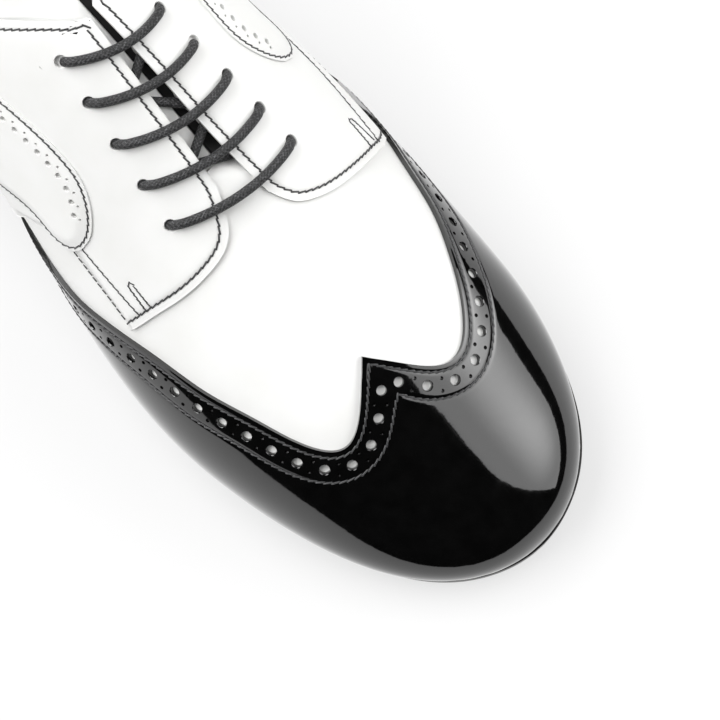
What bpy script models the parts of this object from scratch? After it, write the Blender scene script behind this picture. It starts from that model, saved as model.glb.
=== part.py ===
"""A right dance shoe: a black and white wing-tip derby on a thin leather sole with a stacked heel.

The shoe is drawn on its last, the form that the leather is pulled over. A place on the last is a station
(mm from the back of the heel) and a girth (a share of the way round: 0 at the lateral feather line, where the
upper meets the sole, over the instep to 1 at the medial feather line). Each leather piece is a slab between
two offsets from the last. Sizes are in millimetres, and MM turns them into metres.
+X is the toe, +Y the medial side, +Z up, and the shoe stands on Z = 0.
"""

import math

import bmesh
import bpy
import numpy as np
from mathutils import Vector

MM = 0.001

# Driving sizes of last and sole
LAST_LENGTH = 287.2
SOLE_THICK = 4.2
HEEL_RISE = 24.5
HEEL_SEAT_END = 62.0
BALL_REAR, BALL_FRONT = 188.0, 222.0
TOE_SPRING = 7.5
SEAM_GAP = 0.3

# The middle of the finished shoe's box, which becomes the origin
MIDDLE_X, MIDDLE_Y = 143.09, -1.095

# Sections of the last: half widths, place of the ridge, height, height of the widest point, and fullness
SECTION_COLUMNS = ("station", "lateral", "medial", "ridge", "height", "widest", "fullness")
SECTION_ROWS = (
    (0, 33.0, 32.0, 0.0, 72.0, 24.0, 0.00),
    (40, 34.0, 33.0, 0.0, 75.0, 24.0, 0.00),
    (75, 34.3, 33.0, 1.0, 79.0, 22.0, 0.00),
    (110, 38.4, 39.2, 2.0, 77.0, 21.0, -0.02),
    (145, 45.2, 47.6, 1.5, 69.5, 18.0, -0.06),
    (180, 50.6, 48.8, 0.5, 60.0, 16.0, -0.08),
    (208, 50.4, 48.0, -1.0, 50.3, 14.5, -0.05),
    (235, 45.6, 46.5, 0.7, 40.7, 12.0, 0.0),
    (262, 42.2, 45.2, 1.9, 32.1, 8.8, -0.105),
    (288, 41.2, 45.3, 3.7, 27.0, 9.8, 0.055),
)

# Round ends of the last: how far each rounding reaches, and how square it is
TOE_PLAN_REACH, TOE_PLAN_POWER = 64.5, 2.27
TOE_TOP_REACH, TOE_TOP_POWER = 62.5, 1.66
HEEL_PLAN_REACH, HEEL_PLAN_POWER = 36.0, 2.3

# Curve of the back: it stands furthest out at the bulge and leans in above and below it
BACK_BULGE_HEIGHT, BACK_TOP_HEIGHT = 20.0, 60.0
BACK_LEAN_ABOVE, BACK_LEAN_BELOW, BACK_LEAN_REACH = 6.5, 1.8, 75.0

# Layers of leather, as offsets from the last
UPPER_LAYER = (0.0, 1.55)
OVERLAY_LAYER = (2.0, 3.1)
COUNTER_LAYER = (3.7, 4.6)
TONGUE_LAYER = (-1.9, -0.35)

# The lace gap: the girth of its middle, and half its width as a share of the girth
GAP_MIDDLE = 0.511
GAP_COLUMNS = ("station", "half_width")
GAP_ROWS = ((106, 0.008), (130, 0.0155), (150, 0.0205), (165, 0.0275), (178, 0.036))

# The throat slot of the upper lies a little outside the gap and ends under the second lace bar
SLOT_MARGIN, SLOT_FRONT = 0.005, 153.0

# Topline of the collar, from the back seam to the top of the facing
TOPLINE_COLUMNS = ("station", "girth")
TOPLINE_ROWS = (
    (0, 0.328), (20, 0.288), (42, 0.262), (62, 0.268),
    (80, 0.315), (93, 0.385), (101, 0.440), (108, 0.490),
)
FACING_TOP, FACING_FOOT = 108.0, 88.0

# Edge of the wing cap, as station and girth: from its peak back to the tail on each side
WING_LATERAL = (
    (219.7, 0.4915), (225.7, 0.4585), (232.6, 0.409), (232.9, 0.361), (224.8, 0.333), (212.2, 0.3095),
    (196.0, 0.2722), (182.3, 0.2448), (170.1, 0.2126), (160.5, 0.1805), (150, 0.140), (130, 0.078),
    (111, 0.000),
)
WING_MEDIAL = (
    (219.7, 0.4915), (226.6, 0.5186), (234.8, 0.5614), (236.1, 0.604), (229.7, 0.6515), (212.4, 0.7285),
    (198.5, 0.778), (188.0, 0.803), (182.0, 0.821), (177.2, 0.8385), (163, 0.870), (150, 0.912), (122, 1.000),
)

# Front edges of the quarters, from the lower end (share 0) to the lace gap (share 1)
FRONT_COLUMNS = ("share", "station")
FRONT_ROWS = {
    "lateral": (
        (0.0, 169.6), (0.11, 171.05), (0.22, 172.2), (0.46, 174.8), (0.705, 175.4), (0.813, 174.5),
        (0.892, 172.4), (0.941, 169.0), (1.0, 160.5),
    ),
    "medial": (
        (0.0, 175.6), (0.1, 177.9), (0.28, 179.8), (0.43, 180.8), (0.6, 181.4), (0.72, 181.2), (0.844, 179.8),
        (0.9, 178.5), (0.943, 176.6), (0.965, 174.8), (0.984, 172.8), (1.0, 170.5),
    ),
}

# Lower edges of the quarters: level along the foot, then down to the sole under the counter
QUARTER_LOW_GIRTH = {"lateral": 0.2265, "medial": 0.166}
QUARTER_LOW_FROM, QUARTER_LOW_TO = 100.0, 146.0
BACK_SEAM_STATION = 0.0012

# The counter: a round nose on each side, and its lower and upper edges
NOSE_STATION, NOSE_GIRTH, NOSE_REACH = 146.2, 0.266, 15.0
COUNTER_LOW_GIRTH, COUNTER_LOW_FROM, COUNTER_LOW_TO = 0.205, 82.0, 134.0
COUNTER_TOP_COLUMNS = ("station", "girth")
COUNTER_TOP_ROWS = (
    (0, 0.258), (20, 0.225), (42, 0.203), (62, 0.210), (85, 0.255), (110, 0.305), (131, 0.329), (147, 0.324),
)

# The tongue
TONGUE_FRONT, TONGUE_TOP, TONGUE_HALF_GIRTH = 166.0, 88.0, 0.135

# Lace bars: station and girth of the first eyelet of each row, and the step to the next
LACE_BARS = 5
LACE_RADIUS = 1.5
LATERAL_EYELET, LATERAL_STEP = (159.5, 0.3965), (-12.1, 0.0057)
MEDIAL_EYELET, MEDIAL_STEP = (164.1, 0.6235), (-11.7, -0.0045)
LACE_BOW = 4.5

# Margin of the sole outside the feather line
MARGIN_COLUMNS = ("station", "lateral", "medial")
MARGIN_ROWS = (
    (0, 4.6, 4.6), (60, 3.4, 3.0), (120, 1.6, 0.8), (160, 2.6, 2.4), (200, 4.2, 5.6), (235, 4.6, 7.6),
    (262, 4.4, 6.9), (278, 4.5, 5.6), (288, 3.4, 3.4),
)
INSOLE_THICK, INSOLE_MARGIN = 2.0, -0.8
HEEL_BREAST = 68.0
LIFT_THICK = 6.0
HEEL_TAPER = 0.05

# Faces along and across each piece
SIDE_COLUMNS, UPPER_ROWS = 37, 12
WING_SIDE_COLUMNS, WING_ROWS = 22, 9
QUARTER_FRONT, QUARTER_FACING_TOP, QUARTER_BACK, QUARTER_ROWS = 10, 6, 14, 11
COUNTER_SIDE_COLUMNS, COUNTER_ROWS = 22, 5
TONGUE_LENGTHS, TONGUE_ROWS = 14, 7
SOLE_LENGTHS, HEEL_LENGTHS = 56, 22
LACE_POINTS = 7

# The upper's grid: share of its columns that end on the throat's front, and on the whole slot
THROAT_SHARE, SLOT_SHARE = 0.05, 0.52
TOPLINE_CROWDING, TOP_CROWDING = 1.5, 1.3
FLAT_FROM, FLAT_TO = 110.0, 220.0

# Small steps: of a slope, and of a plate's end away from the tip of the last
SLOPE_STEP = 0.004
TIP = 0.02
WELD = 1e-7


def curves(columns, rows):
    """A natural cubic spline for each named column of a table, read by the table's first column."""
    table = np.array(rows, float)
    x = table[:, 0]
    step = np.diff(x)
    count = len(x)

    def curve(y):
        matrix, right = np.eye(count), np.zeros(count)
        for i in range(1, count - 1):
            matrix[i, i - 1 : i + 2] = step[i - 1], 2 * (step[i - 1] + step[i]), step[i]
            right[i] = 6 * ((y[i + 1] - y[i]) / step[i] - (y[i] - y[i - 1]) / step[i - 1])
        bend = np.linalg.solve(matrix, right)

        def value(at):
            i = int(np.clip(np.searchsorted(x, at) - 1, 0, count - 2))
            left, past = x[i + 1] - at, at - x[i]
            cubic = (bend[i] * left**3 + bend[i + 1] * past**3) / (6 * step[i])
            from_left = (y[i] / step[i] - bend[i] * step[i] / 6) * left
            from_right = (y[i + 1] / step[i] - bend[i + 1] * step[i] / 6) * past
            return float(cubic + from_left + from_right)

        return value

    return {name: curve(table[:, i]) for i, name in enumerate(columns) if i}


SECTION = curves(SECTION_COLUMNS, SECTION_ROWS)
GAP = curves(GAP_COLUMNS, GAP_ROWS)
TOPLINE = curves(TOPLINE_COLUMNS, TOPLINE_ROWS)
FRONT = {side: curves(FRONT_COLUMNS, rows) for side, rows in FRONT_ROWS.items()}
COUNTER_TOP = curves(COUNTER_TOP_COLUMNS, COUNTER_TOP_ROWS)
MARGIN = curves(MARGIN_COLUMNS, MARGIN_ROWS)


def lerp(start, end, share):
    return start + (end - start) * share


def smooth_step(share):
    share = min(max(share, 0.0), 1.0)
    return share * share * (3 - 2 * share)


def crowded(share):
    """A share that moves in finer steps towards its end, where the sections bend most over the instep."""
    return 1 - (1 - share) ** TOP_CROWDING


def round_end(distance, reach, power):
    """Share of the full size at a distance from a round end."""
    share = min(max(distance / reach, 0.0), 1.0)
    return math.sqrt(1 - (1 - share) ** power)


def sole_top(station):
    """Height of the sole's upper face: heel seat, arch, flat ball and toe spring."""
    spring = TOE_SPRING * (max(station - BALL_FRONT, 0.0) / (LAST_LENGTH - BALL_FRONT)) ** 2
    arch = HEEL_RISE * smooth_step((BALL_REAR - station) / (BALL_REAR - HEEL_SEAT_END))
    return SOLE_THICK + spring + arch


def sole_under(station):
    return sole_top(station) - SOLE_THICK


def back_lean(station, above_feather):
    """How far the back of the heel leans forward at a height above the feather line."""
    fade = max(1 - station / BACK_LEAN_REACH, 0.0) ** 2
    past = above_feather - BACK_BULGE_HEIGHT
    if past > 0:
        return fade * BACK_LEAN_ABOVE * (past / (BACK_TOP_HEIGHT - BACK_BULGE_HEIGHT)) ** 2
    return fade * BACK_LEAN_BELOW * (past / BACK_BULGE_HEIGHT) ** 2


def last_point(station, girth):
    """A point of the last. Each section is an arch, drawn in below its widest point to the feather line."""
    station = min(max(station, 0.0), LAST_LENGTH)
    size = {name: curve(station) for name, curve in SECTION.items()}
    toe_plan = round_end(LAST_LENGTH - station, TOE_PLAN_REACH, TOE_PLAN_POWER)
    toe_top = round_end(LAST_LENGTH - station, TOE_TOP_REACH, TOE_TOP_POWER)
    heel_plan = round_end(station, HEEL_PLAN_REACH, HEEL_PLAN_POWER)
    middle = (size["medial"] - size["lateral"]) / 2
    half = (size["medial"] + size["lateral"]) / 2 * toe_plan * heel_plan
    ridge_shift = (size["ridge"] - middle) * toe_plan * heel_plan
    under = math.asin(size["widest"] / (size["height"] - size["widest"]))
    angle = math.pi + under - girth * (math.pi + 2 * under)
    rise = math.sin(angle)
    above_feather = toe_top * lerp(size["widest"], size["height"], rise)
    width = half * math.cos(angle) * (1 + size["fullness"] * rise * rise)
    return Vector((
        station + back_lean(station, above_feather),
        middle + ridge_shift * rise * rise + width,
        sole_top(station) + SEAM_GAP + above_feather,
    ))


def chart(station, girth):
    """Flat pattern of the shoe: its origin is the toe tip, and the feather line runs along its first axis."""
    reach = math.sqrt(max(LAST_LENGTH - station, 0.0))
    return -reach * math.cos(math.pi * girth), reach * math.sin(math.pi * girth)


def unchart(across, up):
    """Station and girth of a place on the flat pattern."""
    girth = 1 - math.atan2(up, across) / math.pi
    return LAST_LENGTH - across * across - up * up, girth - 2 if girth > 1.5 else girth


def outward(station, girth):
    """The last's outward direction, never below level, so that every layer ends on the sole."""
    if station > LAST_LENGTH / 3:
        across, up = chart(station, girth)
        along = last_point(*unchart(across + SLOPE_STEP, up)) - last_point(*unchart(across - SLOPE_STEP, up))
        rising = last_point(*unchart(across, up + SLOPE_STEP)) - last_point(*unchart(across, up - SLOPE_STEP))
    else:
        # Round the heel the way is measured by the root of the station, below 0 on the lateral side
        low = min(girth, 1 - girth)
        way = math.sqrt(max(station, 0.0)) * (-1 if girth < 0.5 else 1)

        def heel_point(at, share):
            return last_point(at * at, share if at < 0 else 1 - share)

        along = heel_point(way - SLOPE_STEP, low) - heel_point(way + SLOPE_STEP, low)
        rising = heel_point(way, low + SLOPE_STEP) - heel_point(way, low - SLOPE_STEP)
    normal = along.cross(rising)
    normal.z = max(normal.z, 0.0)
    return normal.normalized()


def placed(x, y, z):
    """A point of the finished shoe in metres, from its place on the last."""
    return Vector((x - MIDDLE_X, y - MIDDLE_Y, z)) * MM


def leather_point(station, girth, offset):
    return placed(*(last_point(station, girth) + outward(station, girth) * offset))


def end_stations(count, start, end):
    """Stations from start to end, crowded at both ends, where the outline is round."""
    return [lerp(end, start, math.cos(math.pi / 2 * i / count) ** 2) for i in range(count + 1)]


def grid_corners(bm, lengths, rows):
    """A new grid's vertices by their column and row."""
    grid = bmesh.ops.create_grid(bm, x_segments=lengths, y_segments=rows, size=0.5)["verts"]
    return {(round((vert.co.x + 0.5) * lengths), round((vert.co.y + 0.5) * rows)): vert for vert in grid}


def close_edges(bm, first, second, lengths, rows, ring):
    """Join the borders of two grids. A ring has no ends to close."""
    edges = [((i, j), (i + 1, j)) for i in range(lengths) for j in (0, rows)]
    if not ring:
        edges += [((i, j), (i, j + 1)) for i in (0, lengths) for j in range(rows)]
    for start, end in edges:
        bm.faces.new((first[start], first[end], second[end], second[start]))


def finish_mesh(name, bm, material, smooth_angle):
    """Close the seams, turn the faces outwards and make the object."""
    bmesh.ops.remove_doubles(bm, verts=bm.verts, dist=WELD)
    bmesh.ops.recalc_face_normals(bm, faces=bm.faces)
    if bm.calc_volume(signed=True) < 0:
        bmesh.ops.reverse_faces(bm, faces=bm.faces)
    mesh = bpy.data.meshes.new(name)
    bm.to_mesh(mesh)
    bm.free()
    mesh.shade_smooth()
    mesh.set_sharp_from_angle(angle=math.radians(smooth_angle))
    mesh.materials.append(material)
    bpy.context.scene.collection.objects.link(bpy.data.objects.new(name, mesh))


def slab(name, lengths, rows, place, layer, material, ring=False):
    """A leather piece between two offsets. place(column, row) gives a grid corner's station and girth."""
    bm = bmesh.new()
    sheets = [grid_corners(bm, lengths, rows) for offset in layer]
    for offset, corners in zip(layer, sheets):
        for (column, row), vert in corners.items():
            vert.co = leather_point(*place(column, row), offset)
    close_edges(bm, *sheets, lengths, rows, ring)
    finish_mesh(name, bm, material, smooth_angle=50)


def topline(station, middle):
    """Girth of the collar's edge on one side, kept clear of the lace gap with this middle."""
    return min(TOPLINE["girth"](station), middle - GAP["half_width"](FACING_TOP))


def opening_edge(share, middle):
    """Station and girth of the throat's and collar's edge on one side, from the throat to the back seam."""
    if share < THROAT_SHARE:
        corner = middle - GAP["half_width"](SLOT_FRONT) - SLOT_MARGIN
        return SLOT_FRONT, lerp(middle, corner, share / THROAT_SHARE)
    if share < SLOT_SHARE:
        station = lerp(SLOT_FRONT, FACING_TOP, (share - THROAT_SHARE) / (SLOT_SHARE - THROAT_SHARE))
        return station, middle - GAP["half_width"](station) - SLOT_MARGIN
    turn = math.pi / 2 * (share - SLOT_SHARE) / (1 - SLOT_SHARE)
    station = FACING_TOP * max(math.cos(turn), 0.0) ** TOPLINE_CROWDING
    return station, topline(station, middle) - SLOT_MARGIN


def upper_place(column, row):
    """Columns of the upper run from the feather line to the edge of the opening, all the way round the shoe.

    Beside the heel they climb straight up, and round the toe they are straight lines on the flat pattern.
    """
    from_toe = abs(column - SIDE_COLUMNS)
    lateral = column < SIDE_COLUMNS
    foot_station = end_stations(SIDE_COLUMNS, LAST_LENGTH, 0.0)[from_toe]
    middle = GAP_MIDDLE if lateral else 1 - GAP_MIDDLE
    edge_station, edge_girth = opening_edge(from_toe / SIDE_COLUMNS, middle)
    foot_girth, edge_girth = (0.0, edge_girth) if lateral else (1.0, 1 - edge_girth)
    rise = row / UPPER_ROWS
    climb = crowded(rise)
    upright = lerp(foot_station, edge_station, climb), lerp(foot_girth, edge_girth, climb)
    start, end = chart(foot_station, foot_girth), chart(edge_station, edge_girth)
    flat = unchart(lerp(start[0], end[0], rise), lerp(start[1], end[1], rise))
    toe_share = smooth_step((foot_station - FLAT_FROM) / (FLAT_TO - FLAT_FROM))
    return lerp(upright[0], flat[0], toe_share), lerp(upright[1], flat[1], toe_share)


def make_upper(leather):
    slab("upper", 2 * SIDE_COLUMNS, UPPER_ROWS, upper_place, UPPER_LAYER, leather, ring=True)


def wing_edge(rows):
    """A smooth curve on the flat pattern through places given as station and girth."""
    points = np.array([chart(*row) for row in rows])
    way = np.concatenate(([0.0], np.cumsum(np.linalg.norm(np.diff(points, axis=0), axis=1))))
    return curves(("way", "across", "up"), np.column_stack((way / way[-1], points)))


def make_wing_cap(patent):
    """Columns of the wing cap run straight up the flat pattern from the feather line to the wing's edge."""
    branches = {True: wing_edge(WING_LATERAL), False: wing_edge(WING_MEDIAL)}

    def place(column, row):
        from_peak = column - WING_SIDE_COLUMNS
        edge = branches[from_peak <= 0]
        share = abs(from_peak) / WING_SIDE_COLUMNS
        return unchart(edge["across"](share), edge["up"](share) * row / WING_ROWS)

    slab("wing_cap", 2 * WING_SIDE_COLUMNS, WING_ROWS, place, OVERLAY_LAYER, patent)


def quarter_station(column, front):
    """Stations of a quarter from its front edge to the back seam, close together at the top of the facing."""
    facing_rear = FACING_TOP + 2
    if column <= QUARTER_FRONT:
        return lerp(front, facing_rear, 1 - math.cos(math.pi / 2 * column / QUARTER_FRONT))
    column -= QUARTER_FRONT
    if column <= QUARTER_FACING_TOP:
        return lerp(facing_rear, FACING_FOOT, column / QUARTER_FACING_TOP)
    column -= QUARTER_FACING_TOP
    return lerp(BACK_SEAM_STATION, FACING_FOOT, math.cos(math.pi / 2 * column / QUARTER_BACK) ** 2)


def make_quarter(side, leather):
    """A side panel: lace facing and front edge ahead, topline above, back seam behind."""
    lateral = side == "lateral"
    middle = GAP_MIDDLE if lateral else 1 - GAP_MIDDLE

    def place(column, row):
        climb = crowded(row / QUARTER_ROWS)
        front = FRONT[side]["station"](climb)
        station = quarter_station(column, front)
        drop = (station - QUARTER_LOW_FROM) / (QUARTER_LOW_TO - QUARTER_LOW_FROM)
        low = QUARTER_LOW_GIRTH[side] * smooth_step(drop)
        on_facing = station > FACING_TOP
        high = middle - GAP["half_width"](station) if on_facing else topline(station, middle)
        girth = lerp(low, high, climb)
        return station, girth if lateral else 1 - girth

    lengths = QUARTER_FRONT + QUARTER_FACING_TOP + QUARTER_BACK
    slab(f"quarter_{side}", lengths, QUARTER_ROWS, place, OVERLAY_LAYER, leather)


def counter_place(column, row):
    """The counter runs from its lateral nose round the heel to its medial nose."""
    from_back = (column - COUNTER_SIDE_COLUMNS) / COUNTER_SIDE_COLUMNS
    station = (NOSE_STATION - 10 * TIP) * math.sin(math.pi / 2 * abs(from_back)) ** 2
    nose = round_end(NOSE_STATION - station, NOSE_REACH, 2.0)
    drop = (station - COUNTER_LOW_FROM) / (COUNTER_LOW_TO - COUNTER_LOW_FROM)
    low = lerp(NOSE_GIRTH, COUNTER_LOW_GIRTH * smooth_step(drop), nose)
    high = lerp(NOSE_GIRTH, COUNTER_TOP["girth"](station), nose)
    girth = lerp(low, high, row / COUNTER_ROWS)
    return station, girth if from_back <= 0 else 1 - girth


def make_counter(leather):
    slab("counter", 2 * COUNTER_SIDE_COLUMNS, COUNTER_ROWS, counter_place, COUNTER_LAYER, leather)


def tongue_place(column, row):
    station = lerp(TONGUE_FRONT, TONGUE_TOP, column / TONGUE_LENGTHS)
    return station, GAP_MIDDLE + TONGUE_HALF_GIRTH * (2 * row / TONGUE_ROWS - 1)


def make_tongue(leather):
    slab("tongue", TONGUE_LENGTHS, TONGUE_ROWS, tongue_place, TONGUE_LAYER, leather)


def feather_edge(station, side, margin):
    """Plan point of the feather line moved out by a margin."""
    girth = 0.0 if side == "lateral" else 1.0
    out = outward(station, girth).to_2d().normalized()
    return last_point(station, girth).to_2d() + out * margin


def outsole_edge(station, side):
    return feather_edge(station, side, MARGIN[side](station))


def insole_edge(station, side):
    return feather_edge(station, side, INSOLE_MARGIN)


def lift_edge(station, side):
    """Outline of the heel's foot, drawn in towards the middle of the heel."""
    middle = Vector((HEEL_BREAST / 2, 0.0))
    return middle.lerp(outsole_edge(station, side), 1 - HEEL_TAPER)


def plate(name, stations, faces, material):
    """A plate of the bottom. Each of its two faces is an outline and a height that follow the station."""
    bm = bmesh.new()
    count = len(stations) - 1
    sheets = [grid_corners(bm, count, 1) for face in faces]
    for (edge, height), corners in zip(faces, sheets):
        for (column, row), vert in corners.items():
            outline = edge(stations[column], "medial" if row else "lateral")
            vert.co = placed(*outline, height(stations[column]))
    close_edges(bm, *sheets, count, 1, ring=False)
    finish_mesh(name, bm, material, smooth_angle=35)


def make_soles(sole_leather, board):
    stations = end_stations(SOLE_LENGTHS, LAST_LENGTH - TIP, TIP)
    plate("outsole", stations, ((outsole_edge, sole_under), (outsole_edge, sole_top)), sole_leather)

    def board_under(station):
        return sole_top(station) + SEAM_GAP

    def board_top(station):
        return board_under(station) + INSOLE_THICK

    plate("insole", stations, ((insole_edge, board_under), (insole_edge, board_top)), board)


def make_heel(heel_leather, rubber):
    """Stacked leather block and rubber lift, with a flat breast towards the arch."""
    stations = [lerp(TIP, HEEL_BREAST, (i / HEEL_LENGTHS) ** 2) for i in range(HEEL_LENGTHS + 1)]

    def block_under(station):
        return LIFT_THICK + SEAM_GAP

    def block_top(station):
        return sole_under(station) - SEAM_GAP

    def lift_under(station):
        return 0.0

    def lift_top(station):
        return LIFT_THICK

    plate("heel", stations, ((lift_edge, block_under), (outsole_edge, block_top)), heel_leather)
    plate("heel_lift", stations, ((lift_edge, lift_under), (lift_edge, lift_top)), rubber)


def make_lace_bar(number, cord):
    """One bar of the lace, lying over both facings and bowed a little towards the toe."""
    lateral = [start + step * number for start, step in zip(LATERAL_EYELET, LATERAL_STEP)]
    medial = [start + step * number for start, step in zip(MEDIAL_EYELET, MEDIAL_STEP)]
    name = f"lace_bar_{number + 1}"
    curve = bpy.data.curves.new(name, "CURVE")
    curve.dimensions = "3D"
    curve.bevel_depth = LACE_RADIUS * MM
    curve.bevel_resolution = 2
    curve.use_fill_caps = True
    path = curve.splines.new("POLY")
    path.points.add(LACE_POINTS - 1)
    offset = OVERLAY_LAYER[1] + SEAM_GAP + LACE_RADIUS
    for i, point in enumerate(path.points):
        share = i / (LACE_POINTS - 1)
        station = lerp(lateral[0], medial[0], share) + LACE_BOW * 4 * share * (1 - share)
        point.co = (*leather_point(station, lerp(lateral[1], medial[1], share), offset), 1.0)
    curve.materials.append(cord)
    bpy.context.scene.collection.objects.link(bpy.data.objects.new(name, curve))


def make_material(name, color, roughness):
    material = bpy.data.materials.new(name)
    material.use_nodes = True
    shader = material.node_tree.nodes["Principled BSDF"]
    shader.inputs["Base Color"].default_value = (*color, 1.0)
    shader.inputs["Roughness"].default_value = roughness
    shader.inputs["Metallic"].default_value = 0.0
    return material


def main():
    for obj in list(bpy.data.objects):
        bpy.data.objects.remove(obj)
    make_upper(make_material("white_vamp_leather", (0.86, 0.86, 0.85), 0.45))
    make_tongue(make_material("white_tongue_leather", (0.80, 0.80, 0.79), 0.5))
    make_wing_cap(make_material("black_patent_leather", (0.008, 0.008, 0.009), 0.06))
    for side in ("lateral", "medial"):
        make_quarter(side, make_material(f"white_quarter_leather_{side}", (0.86, 0.86, 0.85), 0.45))
    make_counter(make_material("white_counter_leather", (0.86, 0.86, 0.85), 0.45))
    make_soles(
        make_material("black_edge_sole_leather", (0.020, 0.018, 0.017), 0.4),
        make_material("natural_insole_leather", (0.70, 0.58, 0.44), 0.6),
    )
    make_heel(
        make_material("black_stacked_heel_leather", (0.020, 0.018, 0.017), 0.4),
        make_material("black_heel_rubber", (0.03, 0.03, 0.03), 0.8),
    )
    for number in range(LACE_BARS):
        make_lace_bar(number, make_material(f"black_waxed_lace_{number + 1}", (0.02, 0.02, 0.02), 0.7))


main()
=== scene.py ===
"""Looks of the dance shoe: white calf, black patent wing cap, brogue holes, stitching and lace, in a studio.

Every leather piece is drawn on the last, as in the part's source. A place is a station (mm from the back of
the heel) and a girth (0 at the lateral feather line, over the instep to 1 at the medial one), with an offset
from the last. Sizes are in millimetres, and MM turns them into metres.
"""

import math

import bmesh
import bpy
import numpy as np
from mathutils import Matrix
from mathutils.kdtree import KDTree


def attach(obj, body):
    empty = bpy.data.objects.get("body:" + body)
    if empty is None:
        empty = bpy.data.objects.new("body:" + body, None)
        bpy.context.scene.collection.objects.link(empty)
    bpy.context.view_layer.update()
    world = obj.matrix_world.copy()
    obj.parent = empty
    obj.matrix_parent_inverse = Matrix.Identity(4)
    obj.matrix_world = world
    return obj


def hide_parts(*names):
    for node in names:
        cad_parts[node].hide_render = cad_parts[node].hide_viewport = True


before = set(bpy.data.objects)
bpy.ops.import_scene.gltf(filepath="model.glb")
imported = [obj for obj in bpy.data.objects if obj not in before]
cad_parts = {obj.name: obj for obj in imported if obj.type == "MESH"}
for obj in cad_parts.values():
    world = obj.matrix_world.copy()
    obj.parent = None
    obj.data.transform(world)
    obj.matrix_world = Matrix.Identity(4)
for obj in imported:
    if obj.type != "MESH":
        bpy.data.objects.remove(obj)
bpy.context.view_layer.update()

MM = 0.001
SIDES = ("lateral", "medial")

# Sizes of last and sole, as in the solids
LAST_LENGTH = 287.2
SOLE_THICK = 4.2
HEEL_RISE = 24.5
HEEL_SEAT_END = 62.0
BALL_REAR, BALL_FRONT = 188.0, 222.0
TOE_SPRING = 7.5
SEAM_GAP = 0.3
MIDDLE_X, MIDDLE_Y = 143.09, -1.095
TOE_PLAN_REACH, TOE_PLAN_POWER = 64.5, 2.27
TOE_TOP_REACH, TOE_TOP_POWER = 62.5, 1.66
HEEL_PLAN_REACH, HEEL_PLAN_POWER = 36.0, 2.3
BACK_BULGE_HEIGHT, BACK_TOP_HEIGHT = 20.0, 60.0
BACK_LEAN_ABOVE, BACK_LEAN_BELOW, BACK_LEAN_REACH = 6.5, 1.8, 75.0

# Sections of the last: station, lateral and medial half width, ridge, height, widest height, fullness
SECTION_ROWS = (
    (0, 33.0, 32.0, 0.0, 72.0, 24.0, 0.00),
    (40, 34.0, 33.0, 0.0, 75.0, 24.0, 0.00),
    (75, 34.3, 33.0, 1.0, 79.0, 22.0, 0.00),
    (110, 38.4, 39.2, 2.0, 77.0, 21.0, -0.02),
    (145, 45.2, 47.6, 1.5, 69.5, 18.0, -0.06),
    (180, 50.6, 48.8, 0.5, 60.0, 16.0, -0.08),
    (208, 50.4, 48.0, -1.0, 50.3, 14.5, -0.05),
    (235, 45.6, 46.5, 0.7, 40.7, 12.0, 0.0),
    (262, 42.2, 45.2, 1.9, 32.1, 8.8, -0.105),
    (288, 41.2, 45.3, 3.7, 27.0, 9.8, 0.055),
)

# Edges of the pieces, as station and girth, or as the columns that each comment names
GAP_MIDDLE = 0.511
GAP_ROWS = ((106, 0.008), (130, 0.0155), (150, 0.0205), (165, 0.0275), (178, 0.036))
SLOT_MARGIN, SLOT_FRONT = 0.005, 157.0
TOPLINE_ROWS = (
    (0, 0.328), (20, 0.288), (42, 0.262), (62, 0.268),
    (80, 0.315), (93, 0.385), (101, 0.440), (108, 0.490),
)
FACING_TOP, FACING_FOOT = 108.0, 88.0
WING_ROWS = {
    "lateral": (
        (219.7, 0.4915), (225.7, 0.4585), (232.6, 0.409), (232.9, 0.361), (224.8, 0.333), (212.2, 0.3095),
        (196.0, 0.2722), (182.3, 0.2448), (170.1, 0.2126), (160.5, 0.1805), (150, 0.140), (130, 0.078),
        (111, 0.000),
    ),
    "medial": (
        (219.7, 0.4915), (226.6, 0.5186), (234.8, 0.5614), (236.1, 0.604), (229.7, 0.6515), (212.4, 0.7285),
        (198.5, 0.778), (188.0, 0.803), (182.0, 0.821), (177.2, 0.8385), (163, 0.870), (150, 0.912),
        (122, 1.000),
    ),
}
# Front edges of the quarters: share of the way up to the lace gap, and station
FRONT_ROWS = {
    "lateral": (
        (0.0, 169.6), (0.11, 171.05), (0.22, 172.2), (0.46, 174.8), (0.705, 175.4), (0.813, 174.5),
        (0.892, 172.4), (0.941, 169.0), (1.0, 160.5),
    ),
    "medial": (
        (0.0, 175.6), (0.1, 177.9), (0.28, 179.8), (0.43, 180.8), (0.6, 181.4), (0.72, 181.2), (0.844, 179.8),
        (0.9, 178.5), (0.943, 176.6), (0.965, 174.8), (0.984, 172.8), (1.0, 170.5),
    ),
}
QUARTER_LOW_GIRTH = {"lateral": 0.2265, "medial": 0.166}
QUARTER_LOW_FROM, QUARTER_LOW_TO = 100.0, 146.0
BACK_SEAM_STATION = 0.0012
# Sewing and edge lines end this far from the back seam
SEAM_STATION = 0.4
NOSE_STATION, NOSE_GIRTH, NOSE_REACH = 146.2, 0.266, 15.0
COUNTER_LOW_GIRTH, COUNTER_LOW_FROM, COUNTER_LOW_TO = 0.205, 82.0, 134.0
COUNTER_TOP_ROWS = (
    (0, 0.258), (20, 0.225), (42, 0.203), (62, 0.210), (85, 0.255), (110, 0.305), (131, 0.329), (147, 0.324),
)
TONGUE_FRONT, TONGUE_TOP, TONGUE_HALF_GIRTH = 166.0, 88.0, 0.135
# At its top the tongue lies higher
TONGUE_LIFT, TONGUE_LIFT_REACH = 1.25, 12.0
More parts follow.
